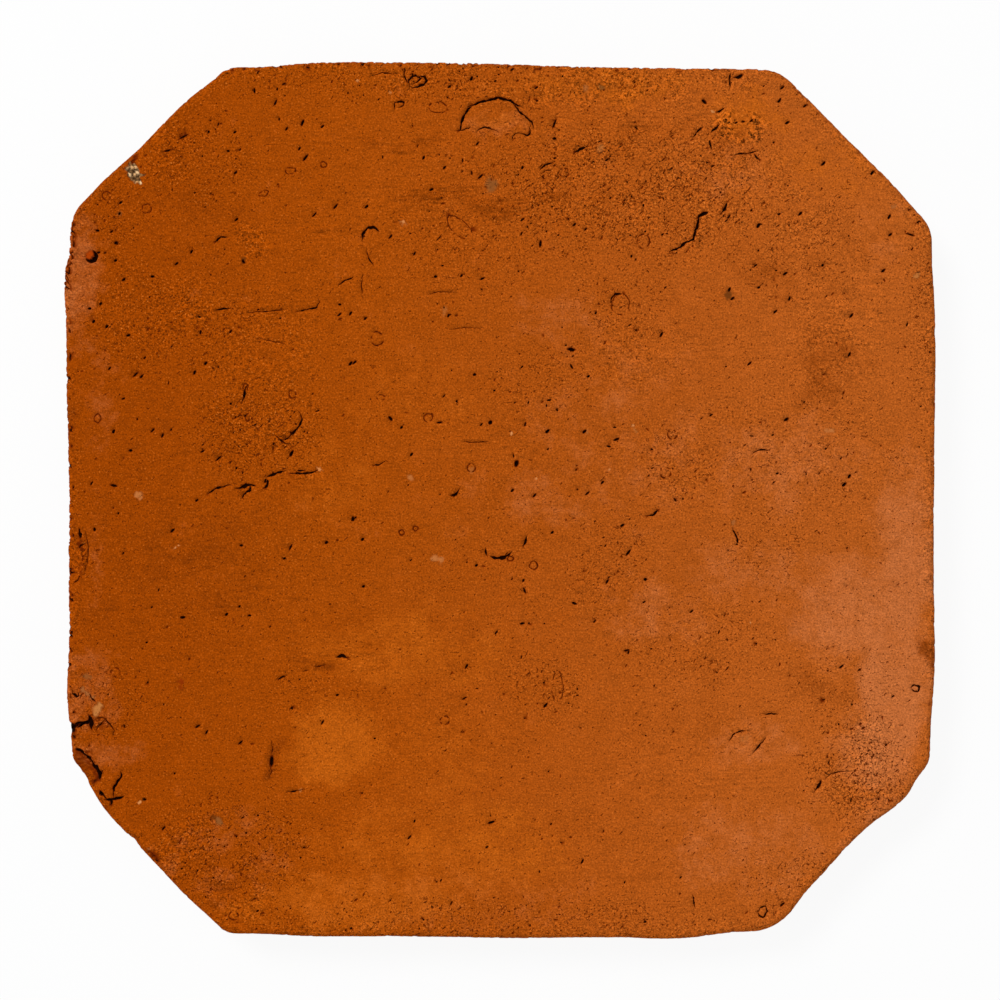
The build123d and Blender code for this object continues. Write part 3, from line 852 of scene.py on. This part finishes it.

# Shade is painted into the chips, the flake and the nicks, on the face and down the arris:
# across, down, half length, half width, tilt and strength of the painted shade
shaded_chips = [
    (84.5, 765, 23, 8.5, -57, 0.36), (96, 774, 9, 4.5, -70, 0.62), (92, 782, 5, 3, -20, 0.65),
    (80, 767, 3, 2, -40, 0.6), (79, 557, 27, 8, 90, 0.16), (90, 722, 7, 4, 90, 0.4),
    (154, 856, 9, 3.4, -45, 0.62), (134, 158, 7, 2.6, 58, 0.6),
]
chip_dip = 0.1
chip_shade_from = 21.0
for across, down, half_long, half_wide, tilt, painted_shade_strength in shaded_chips:
    centre = on_face(across, down)
    half_long, half_wide = half_long * face_mm_per_pixel, half_wide * face_mm_per_pixel
    points = close_to(centre, half_long * 1.3)
    out, _ = oval_share(bent[points], centre, half_long, half_wide, tilt)
    uneven = 0.8 + 0.8 * wavering(level[points] * (1.0, 0.5, 1.0), 1.1, 2, 25.0)
    sink(points, 1.0 - smooth_rise(out, 0.75, 1.1), chip_dip, painted_shade_strength * uneven)
    for ring, ring_painted_shade, height in zip(rings, side_painted_shade, ring_heights):
        out, _ = oval_share(ring[:, :2], centre, half_long, half_wide, tilt)
        uneven = 0.8 + 0.8 * wavering(ring, 1.1, 2, 25.0)
        share = (1.0 - smooth_rise(out, 0.75, 1.1)) * (height > chip_shade_from)
        ring_painted_shade[:] = np.maximum(ring_painted_shade, share * painted_shade_strength * uneven)
heights = heights - relief - waves - hand_marks - torn
heights[is_edge] = top_ring[source[is_edge], 2]
face_points = np.column_stack((flat, heights))

# The back was laid on sand to dry, so it is flat but pitted
back_step = 4.0
back_half = 150.0
back_flat = list(back_ring[:, :2])
for index, up in enumerate(np.arange(-back_half, back_half, back_step)):
    for across in np.arange(-back_half + (index % 2) * back_step / 2, back_half, back_step):
        place = np.array([[across, up]])
        if inside_by(place)[0] > back_step:
            back_flat.append(place[0] + jitter.uniform(-1.0, 1.0, 2))
back_out, _, back_triangles, back_sources, _, _ = delaunay_2d_cdt(
    [Vector(point) for point in back_flat], edge_runs, [], 1, 1e-5
)
back_source = np.array([min(own) if own else -1 for own in back_sources])
back_points = np.array([(point.x, point.y, 0.0) for point in back_out])
pit_depth = 0.35
sand_pits = pit_depth * np.clip(wavering(back_points, 9.0, 3, 33.0), 0.0, 1.0)
back_points[:, 2] = np.where(back_source < stations, 0.0, sand_pits)

# All of it sewn into one closed skin, with a flat layout of its own for painting
skin_points = []
for ring in rings:
    skin_points.extend(map(tuple, ring))
ring_start = [index * stations for index in range(len(rings))]
side_quads = []
for low, high in zip(ring_start, ring_start[1:]):
    for i in range(stations):
        after = (i + 1) % stations
        side_quads.append((low + i, low + after, high + after, high + i))
face_index = []
for place, point in enumerate(face_points):
    if is_edge[place]:
        face_index.append(ring_start[-1] + int(source[place]))
    else:
        face_index.append(len(skin_points))
        skin_points.append(tuple(point))
back_index = []
for place, point in enumerate(back_points):
    if 0 <= back_source[place] < stations:
        back_index.append(int(back_source[place]))
    else:
        back_index.append(len(skin_points))
        skin_points.append(tuple(point))
face_polygons = [tuple(face_index[i] for i in triangle) for triangle in face_triangles]
back_polygons = [tuple(back_index[i] for i in reversed(triangle)) for triangle in back_triangles]
skin_points = np.array(skin_points)
tile_mesh = bpy.data.meshes.new("fired_tile")
tile_mesh.from_pydata(skin_points * mm, [], side_quads + face_polygons + back_polygons)
tile_mesh.shade_smooth()

# What the finish needs to know all over the skin, each from 0 to about 1
side_roughness = 0.6
whole = {"painted_hollow_shade": np.zeros(len(skin_points)), "rough": np.zeros(len(skin_points))}
whole_tint = np.zeros((len(skin_points), 4))
whole["painted_hollow_shade"][face_index] = painted_hollow_shade
whole["rough"][face_index] = rough
whole["rough"][: ring_start[-1]] = side_roughness
whole["rough"] *= smooth_rise(wavering(skin_points, 7.0, 3, 130.0), -0.35, 0.10)
busy = busyness(*(skin_points[:, :2] / face_mm_per_pixel * (1.0, -1.0) + picture_middle).T)
whole["busy"] = busy * np.clip(1.0 + 0.7 * wavering(skin_points, 7.0, 3, 90.0), 0.2, 1.8)
for start, ring_painted_shade in zip(ring_start, side_painted_shade):
    on_ring = whole["painted_hollow_shade"][start : start + stations]
    whole["painted_hollow_shade"][start : start + stations] = np.maximum(on_ring, ring_painted_shade)
whole_tint[face_index] = grain_tint

# Broad stains and tints of the firing, as soft ovals: across, down, half width, half height, strength
tints = {
    "pale": [
        (110, 752, 34, 28, 0.40), (725, 170, 50, 34, 0.3), (883, 262, 30, 30, 0.3),
        (905, 600, 40, 160, 0.8),
        (80, 280, 30, 90, 0.46), (94, 560, 12, 90, 0.22), (860, 610, 80, 60, 0.75), (885, 710, 40, 100, 0.95),
        (760, 850, 100, 60, 0.4), (620, 440, 110, 120, 0.25), (90, 690, 36, 60, 0.32),
        (500, 120, 40, 20, 0.4),
        (790, 460, 90, 60, 0.4), (560, 320, 60, 30, 0.3), (100, 400, 20, 60, 0.22), (890, 190, 40, 50, 0.2),
        (760, 740, 60, 30, 0.4), (540, 500, 90, 40, 0.3), (770, 570, 110, 40, 0.4), (660, 610, 80, 40, 0.35),
        (230, 860, 80, 60, 0.22), (450, 900, 180, 40, 0.25), (900, 830, 60, 60, 0.5), (860, 740, 40, 60, 0.5),
    ],
    "golden": [
        (335, 742, 56, 50, 1.0), (450, 850, 150, 60, 0.6), (830, 170, 90, 40, 0.45), (745, 120, 60, 30, 0.7),
        (400, 650, 130, 40, 0.6), (420, 400, 90, 50, 0.35), (600, 85, 120, 26, 0.6), (370, 900, 130, 36, 0.7),
        (330, 470, 60, 60, 0.4), (495, 116, 26, 14, 0.6), (440, 760, 90, 60, 0.4), (250, 915, 40, 20, 0.6),
        (450, 620, 60, 50, 0.3), (840, 880, 60, 40, 0.4),
    ],
    "brown": [
        (155, 430, 90, 60, 0.25), (830, 375, 46, 55, 0.6), (73, 422, 10, 36, 1.0), (195, 560, 110, 70, 0.45),
        (330, 610, 90, 30, 0.3), (221, 883, 14, 10, 0.9), (211, 903, 12, 9, 0.8), (62, 365, 8, 10, 0.9),
        (700, 730, 100, 40, 0.25), (500, 200, 140, 11, 0.6), (110, 620, 40, 40, 0.4), (820, 690, 60, 30, 0.4),
        (312, 667, 30, 7, 0.9), (271, 760, 10, 24, 0.9), (660, 125, 60, 16, 0.4), (930, 660, 14, 20, 0.9),
        (600, 140, 70, 10, 0.4), (400, 142, 60, 8, 0.6), (300, 235, 70, 7, 0.5), (790, 280, 70, 40, 0.4),
        (370, 440, 20, 40, 0.3), (660, 660, 90, 30, 0.2), (220, 215, 70, 50, 0.35), (230, 260, 60, 30, 0.3),
        (724, 135, 34, 22, 0.5), (850, 240, 60, 50, 0.3),
    ],
    "smeared": [
        (470, 200, 130, 12, 1.0), (390, 142, 70, 10, 0.9), (600, 140, 80, 14, 0.8), (300, 235, 70, 8, 0.9),
        (660, 125, 70, 20, 0.7), (280, 310, 60, 10, 0.6), (860, 300, 50, 30, 0.5), (480, 440, 60, 30, 0.3),
        (620, 90, 120, 14, 0.6), (640, 350, 100, 20, 0.4), (340, 660, 60, 14, 0.6), (700, 770, 90, 20, 0.4),
    ],
}
wander = np.column_stack((wavering(skin_points, 16.0, 4, 2.0), wavering(skin_points, 16.0, 4, 70.0)))
wander_reach = 6.0
for name, ovals in tints.items():
    amount = np.zeros(len(skin_points))
    for across, down, half_wide, half_high, strength in ovals:
        offset = (skin_points[:, :2] + wander * wander_reach - on_face(across, down)) / face_mm_per_pixel
        out = np.hypot(offset[:, 0] / half_wide, offset[:, 1] / half_high)
        amount = np.maximum(amount, strength * (1.0 - smooth_rise(out, 0.35, 1.35)))
    whole[name] = amount

for name, amounts in whole.items():
    held = tile_mesh.attributes.new(name, "FLOAT", "POINT")
    held.data.foreach_set("value", amounts.astype(np.float32))
held = tile_mesh.attributes.new("grain_tint", "FLOAT_COLOR", "POINT")
held.data.foreach_set("color", whole_tint.astype(np.float32).ravel())

# The layout: the face large, the sides as four strips over it, and the back small in a corner
layout = tile_mesh.uv_layers.new(name="OFBake")
face_share, back_share, strip_share, margin = 0.70, 0.29, 0.072, 0.006
loop_points = np.empty(len(tile_mesh.loops), dtype=np.int64)
tile_mesh.loops.foreach_get("vertex_index", loop_points)
loop_uvs = np.zeros((len(loop_points), 2))
half_span = 152.0
side_loops = len(side_quads) * 4
face_loops = side_loops + sum(len(polygon) for polygon in face_polygons)
unit = (skin_points[loop_points, :2] + half_span) / (2.0 * half_span)
loop_uvs[side_loops:face_loops] = margin + unit[side_loops:face_loops] * (face_share - 2 * margin)
back_span = back_share - 2 * margin
loop_uvs[face_loops:, 0] = face_share + margin + (1.0 - unit[face_loops:, 0]) * back_span
loop_uvs[face_loops:, 1] = margin + unit[face_loops:, 1] * back_span
strip_stations = stations // 4
quad_number = np.repeat(np.arange(len(side_quads)), 4)
quad_station = quad_number % stations
strip = quad_station // strip_stations
corner_ahead = np.tile((0, 1, 1, 0), len(side_quads))
run = (quad_station % strip_stations + corner_ahead) / strip_stations
corner_height = skin_points[loop_points[:side_loops], 2] / face_height
loop_uvs[:side_loops, 0] = margin + run * (face_share - 2 * margin)
loop_uvs[:side_loops, 1] = face_share + margin + strip * strip_share + corner_height * (strip_share - margin)
layout.data.foreach_set("uv", loop_uvs.astype(np.float32).ravel())

# Fired clay: rusty orange, matt, with a paler skin where the wet hand drew the finest clay up
clay = bpy.data.materials.new("fired_clay")
clay.use_nodes = True
clay.node_tree.nodes.clear()
fired = Finish(clay.node_tree)
position = fired.node("TexCoord", output=3)


def mottling(size, detail=3.0, stretch=(1.0, 1.0, 1.0), tilt=0.0, shift=0.0):
    """Noise from 0 to 1 with spots of this size in mm, drawn out by stretch along its tilted axes."""
    moved = {"Location": (shift, shift, 0.0), "Rotation": (0.0, 0.0, tilt), "Scale": stretch}
    drawn_out = fired.node("Mapping", {"vector_type": "TEXTURE"}, {"Vector": position, **moved})
    spots = {"Vector": drawn_out, "Scale": 1.0 / (size * mm), "Detail": detail}
    return fired.node("TexNoise", {}, spots)


def amount_of(name):
    """What is known all over the skin under this name."""
    return fired.node("Attribute", {"attribute_name": name}, output=2)


across_face = fired.node("SeparateXYZ", {}, {"Vector": position})
left_clay = (0.330, 0.0550, 0.0006, 1.0)
middle_clay = (0.380, 0.0685, 0.0018, 1.0)
right_clay = (0.478, 0.1070, 0.0125, 1.0)
pale_clay = (0.560, 0.1600, 0.0440, 1.0)
golden_clay = (0.500, 0.1060, 0.0050, 1.0)
brown_clay = (0.240, 0.0400, 0.0010, 1.0)
painted_shade_dark = (0.012, 0.0022, 0.0004, 1.0)
reddish_inside_and_shade = (0.170, 0.0200, 0.0003, 1.0)
pale_grain = (0.740, 0.2500, 0.0400, 1.0)
blotches = mottling(9.0, 3.0, shift=0.3)
drift = across_face + (blotches - 0.5) * 0.04
colour = fired.mix(drift.between(-0.135, -0.03), left_clay, middle_clay)
colour = fired.mix(drift.between(-0.07, 0.155), colour, right_clay)

# The firing's tints have ragged edges: each shows through where a mottling lets it
middling = mottling(2.2, 2.0, shift=0.2)
ragged = (blotches - 0.5) * 0.8 + (middling - 0.5) * 0.5
tint_most = 0.8
colour = fired.mix((amount_of("pale") * 0.9 + ragged).between(0.10, 0.95) * tint_most, colour, pale_clay)
colour = fired.mix((amount_of("golden") * 0.9 + ragged).between(0.15, 0.95) * tint_most, colour, golden_clay)
colour = fired.mix((amount_of("brown") * 0.9 - ragged).between(0.15, 0.95) * tint_most, colour, brown_clay)

# Grain of 0.6 to 9 mm, crisper where it is rough or busy, and a little lighter low on the face. The
# hand that smoothed the face left streaks, strongest in its smears.
rough = amount_of("rough")
busy = amount_of("busy")
fine = mottling(0.58, 2.0, shift=0.1)
streaks = mottling(1.0, 2.0, stretch=(9.0, 1.0, 1.0), shift=0.6)
up_face = fired.node("SeparateXYZ", {}, {"Vector": position}, output=1)
tone = 1.02 + (fine - 0.5) * (1.5 + busy * 0.9 + rough * 1.2)
tone = tone + (middling - 0.5) * 0.36 + (blotches - 0.5) * 0.12
tone = tone + (streaks - 0.5) * (amount_of("smeared") * 1.1 + 0.42)
tone = tone + (0.5 - up_face.between(-0.11, 0.0)) * 0.06

# Where the strike tore the clay, crisp crumbs stand over ragged lines of painted shade where the ledges step
# down
crumbs = mottling(1.2, 2.0, shift=0.5)
crumb = crumbs.between(0.42, 0.56)
ledges = mottling(5.0, 3.0, stretch=(2.2, 1.0, 1.0), shift=0.55)
ledge_painted_shade = ledges.between(0.490, 0.503) - ledges.between(0.503, 0.516)
tone = tone + (crumb - 0.45) * rough * (rough * 0.95 + 0.15) - ledge_painted_shade * rough * 0.45
colour = fired.node("VectorMath", {"operation": "SCALE"}, {0: colour, "Scale": tone})

# Small pores, strokes and half rings show the redder inside of the clay, partly as painted shade, most
# where it is busy, and the cores of the pores and strokes are painted shade
pores = mottling(0.95, 2.0, shift=0.95) + busy * 0.08
strokes = mottling(1.0, 2.0, stretch=(2.2, 1.0, 1.0), tilt=math.radians(46.0), shift=0.15) + busy * 0.07
contour = middling.sum("ABSOLUTE", middling - 0.60)
half_rings = (1.0 - contour.between(0.007, 0.019)) * (streaks + busy * 0.22).between(0.60, 0.64)
dented = (0.705, 0.745)
pore_shade_range = (0.765, 0.800)
dents = pores.between(*dented)
dents = dents.sum("MAXIMUM", dents, strokes.between(*dented))
dents = dents.sum("MAXIMUM", dents, half_rings * 0.8)
colour = fired.mix(dents * 0.95, colour, reddish_inside_and_shade)
colour = fired.mix(pores.between(*pore_shade_range), colour, painted_shade_dark)
colour = fired.mix(strokes.between(*pore_shade_range), colour, painted_shade_dark)

# Pale grains show in between, sand lies at its own places, and the marks have painted shade inside, redder
# where shallow and dark where deep
pale_flecks = fine.between(0.62, 0.76) * (0.30 + busy * 0.35 + rough * 0.45)
colour = fired.mix(pale_flecks, colour, pale_grain)
tint = fired.node("Attribute", {"attribute_name": "grain_tint"})
tint_share = fired.node("Attribute", {"attribute_name": "grain_tint"}, output=3)
colour = fired.mix(tint_share * (0.70 + fine * 0.5), colour, tint)
# The shade painted in the marks, the holes and the chips
shaded_holes = amount_of("painted_hollow_shade")
colour = fired.mix(shaded_holes.between(0.05, 0.50), colour, reddish_inside_and_shade)
colour = fired.mix(shaded_holes.between(0.48, 0.80), colour, painted_shade_dark)

# Matt all over, with grit and dents of about a quarter of a millimetre, in metres
roughness = 0.86 + (middling - 0.5) * 0.2
grit = fine * 0.00015 + middling * 0.00012 - dents * 0.00026
torn_grit = (crumb * 0.00018 + crumbs * 0.00020) * rough
bumps = fired.node("Bump", {}, {"Strength": 1.0, "Distance": 1.0, "Height": grit + torn_grit})
fired_look = fired.node("BsdfPrincipled", {}, {
    "Base Color": colour, "Roughness": roughness, "Specular IOR Level": 0.01, "Normal": bumps,
})
fired.node("OutputMaterial", {}, {"Surface": fired_look})
tile_mesh.materials.append(clay)

tile = bpy.data.objects.new("fired_tile", tile_mesh)
bpy.context.scene.collection.objects.link(tile)
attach(tile, "root")
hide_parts("terracotta_tile")
